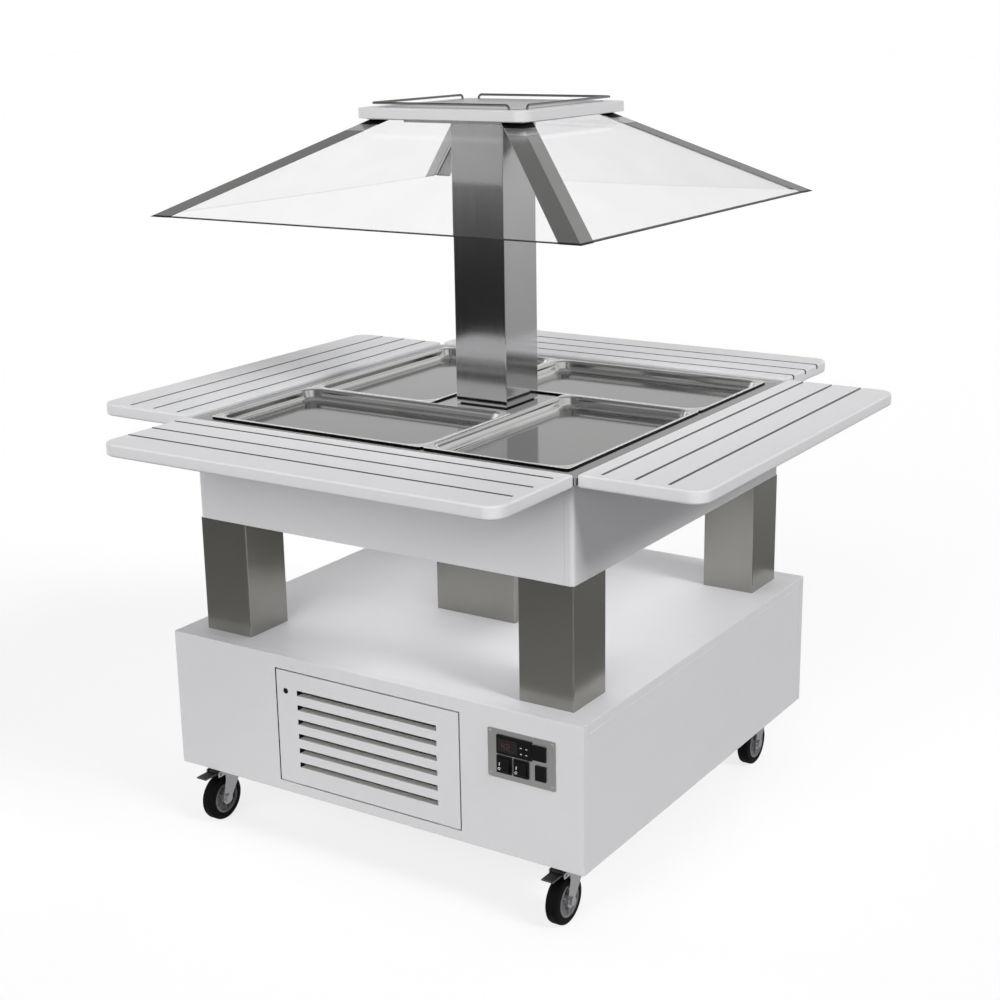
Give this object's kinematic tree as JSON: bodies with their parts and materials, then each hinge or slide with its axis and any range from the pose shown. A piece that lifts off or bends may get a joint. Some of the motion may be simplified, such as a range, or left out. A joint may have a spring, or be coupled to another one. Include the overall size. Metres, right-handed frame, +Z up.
{
  "type": "self-service display case",
  "caption": "Square wheeled buffet island with a cooled well of food pans, folding slatted shelves on every side and a clear sloping canopy on a central post.",
  "frame": {"origin": "on the floor under the middle of the case", "axes": "+Z up, -Y towards the front with the grille door and controls, +X to the right"},
  "size_m": [1.424, 1.424, 1.5125],
  "materials": {
    "white_laminate": "satin white laminate on board",
    "brushed_steel": "brushed stainless sheet",
    "pan_steel": "fine satin pressed stainless",
    "zinc_steel": "bright zinc plate",
    "rubber_wheel": "black tread on a grey moulded hub",
    "clear_pane": "clear, polished edges",
    "black_plastic": "fine moulded texture",
    "lamp_opal": "opal diffuser",
    "insulation_foam": "poured foam",
    "bare_aluminium": "mill finish",
    "compressor_black": "black enamel"
  },
  "bodies": {
    "frame": {"base_back_panel": "white_laminate", "base_deck": "white_laminate", "base_floor": "white_laminate", "base_front_panel": "white_laminate", "base_side_panels": "white_laminate", "cabinet_end_panels": "white_laminate", "cabinet_floor": "white_laminate", "cabinet_side_panels": "white_laminate", "cable_gland": "black_plastic", "canopy_panes": "clear_pane", "canopy_post": "brushed_steel", "caster_plates": "zinc_steel", "centre_duct": "brushed_steel", "cold_plate": "bare_aluminium", "compressor": "compressor_black", "condenser": "bare_aluminium", "control_plate": "brushed_steel", "door_pivots": "zinc_steel", "fan_frame": "brushed_steel", "gallery_rails": "brushed_steel", "head_plate": "brushed_steel", "hip_covers": "brushed_steel", "lamp_panel": "lamp_opal", "legs": "brushed_steel", "pan_support_cross": "brushed_steel", "post_foot": "black_plastic", "shelf_hinges": "brushed_steel", "switch_blocks": "black_plastic", "thermostat": "black_plastic", "top_board": "white_laminate", "top_plate": "brushed_steel", "well_insulation": "insulation_foam", "well_tub": "brushed_steel"},
    "pan_front_left": {"pan_front_left": "pan_steel"},
    "pan_front_right": {"pan_front_right": "pan_steel"},
    "pan_back_right": {"pan_back_right": "pan_steel"},
    "pan_back_left": {"pan_back_left": "pan_steel"},
    "shelf_front": {"shelf_front": "white_laminate", "shelf_front_straps": "brushed_steel"},
    "shelf_right": {"shelf_right": "white_laminate", "shelf_right_straps": "brushed_steel"},
    "shelf_back": {"shelf_back": "white_laminate", "shelf_back_straps": "brushed_steel"},
    "shelf_left": {"shelf_left": "white_laminate", "shelf_left_straps": "brushed_steel"},
    "fork_front_left": {"caster_fork_front_left": "zinc_steel"},
    "wheel_front_left": {"caster_wheel_front_left": "rubber_wheel"},
    "pedal_front_left": {"brake_pedal_front_left": "zinc_steel"},
    "fork_front_right": {"caster_fork_front_right": "zinc_steel"},
    "wheel_front_right": {"caster_wheel_front_right": "rubber_wheel"},
    "pedal_front_right": {"brake_pedal_front_right": "zinc_steel"},
    "fork_back_right": {"caster_fork_back_right": "zinc_steel"},
    "wheel_back_right": {"caster_wheel_back_right": "rubber_wheel"},
    "fork_back_left": {"caster_fork_back_left": "zinc_steel"},
    "wheel_back_left": {"caster_wheel_back_left": "rubber_wheel"},
    "door": {"grille_door": "white_laminate"},
    "lock": {"door_lock": "zinc_steel"},
    "power_rocker": {"power_rocker": "black_plastic"},
    "lamp_rocker": {"lamp_rocker": "black_plastic"},
    "fan": {"fan_rotor": "black_plastic"}
  },
  "joints": [
    {"name": "pan_front_left_lift", "type": "slide", "parent": "frame", "child": "pan_front_left", "axis": [0, 0, 1], "range_m": [0, 0.18]},
    {"name": "pan_front_right_lift", "type": "slide", "parent": "frame", "child": "pan_front_right", "axis": [0, 0, 1], "range_m": [0, 0.18]},
    {"name": "pan_back_right_lift", "type": "slide", "parent": "frame", "child": "pan_back_right", "axis": [0, 0, 1], "range_m": [0, 0.18]},
    {"name": "pan_back_left_lift", "type": "slide", "parent": "frame", "child": "pan_back_left", "axis": [0, 0, 1], "range_m": [0, 0.18]},
    {"name": "shelf_front_fold", "type": "hinge", "parent": "frame", "child": "shelf_front", "pos_m": [0, -0.4575, 0.864], "axis": [1, 0, 0], "range_deg": [0, 90]},
    {"name": "shelf_right_fold", "type": "hinge", "parent": "frame", "child": "shelf_right", "pos_m": [0.4575, 0, 0.864], "axis": [0, 1, 0], "range_deg": [0, 90]},
    {"name": "shelf_back_fold", "type": "hinge", "parent": "frame", "child": "shelf_back", "pos_m": [0, 0.4575, 0.864], "axis": [-1, 0, 0], "range_deg": [0, 90]},
    {"name": "shelf_left_fold", "type": "hinge", "parent": "frame", "child": "shelf_left", "pos_m": [-0.4575, 0, 0.864], "axis": [0, -1, 0], "range_deg": [0, 90]},
    {"name": "front_left_swivel", "type": "hinge", "parent": "frame", "child": "fork_front_left", "pos_m": [-0.432, -0.424, 0.115], "axis": [0, 0, 1], "continuous": true},
    {"name": "front_left_roll", "type": "hinge", "parent": "fork_front_left", "child": "wheel_front_left", "pos_m": [-0.432, -0.461, 0.05], "axis": [1, 0, 0], "continuous": true},
    {"name": "front_left_brake", "type": "hinge", "parent": "fork_front_left", "child": "pedal_front_left", "pos_m": [-0.432, -0.479, 0.112], "axis": [1, 0, 0], "range_deg": [0, 12]},
    {"name": "front_right_swivel", "type": "hinge", "parent": "frame", "child": "fork_front_right", "pos_m": [0.432, -0.424, 0.115], "axis": [0, 0, 1], "continuous": true},
    {"name": "front_right_roll", "type": "hinge", "parent": "fork_front_right", "child": "wheel_front_right", "pos_m": [0.432, -0.461, 0.05], "axis": [1, 0, 0], "continuous": true},
    {"name": "front_right_brake", "type": "hinge", "parent": "fork_front_right", "child": "pedal_front_right", "pos_m": [0.432, -0.479, 0.112], "axis": [1, 0, 0], "range_deg": [0, 12]},
    {"name": "back_right_swivel", "type": "hinge", "parent": "frame", "child": "fork_back_right", "pos_m": [0.432, 0.424, 0.115], "axis": [0, 0, 1], "continuous": true},
    {"name": "back_right_roll", "type": "hinge", "parent": "fork_back_right", "child": "wheel_back_right", "pos_m": [0.432, 0.387, 0.05], "axis": [1, 0, 0], "continuous": true},
    {"name": "back_left_swivel", "type": "hinge", "parent": "frame", "child": "fork_back_left", "pos_m": [-0.432, 0.424, 0.115], "axis": [0, 0, 1], "continuous": true},
    {"name": "back_left_roll", "type": "hinge", "parent": "fork_back_left", "child": "wheel_back_left", "pos_m": [-0.432, 0.387, 0.05], "axis": [1, 0, 0], "continuous": true},
    {"name": "door_swing", "type": "hinge", "parent": "frame", "child": "door", "pos_m": [0.218, -0.494, 0.279], "axis": [0, 0, 1], "range_deg": [0, 100]},
    {"name": "lock_turn", "type": "hinge", "parent": "door", "child": "lock", "pos_m": [-0.2, -0.49, 0.358], "axis": [0, 1, 0], "range_deg": [0, 90]},
    {"name": "power_switch", "type": "hinge", "parent": "frame", "child": "power_rocker", "pos_m": [0.329, -0.501, 0.32], "axis": [1, 0, 0], "range_deg": [0, 16]},
    {"name": "lamp_switch", "type": "hinge", "parent": "frame", "child": "lamp_rocker", "pos_m": [0.3665, -0.501, 0.32], "axis": [1, 0, 0], "range_deg": [0, 16]},
    {"name": "fan_spin", "type": "hinge", "parent": "frame", "child": "fan", "pos_m": [0, -0.368, 0.251], "axis": [0, 1, 0], "continuous": true}
  ]
}
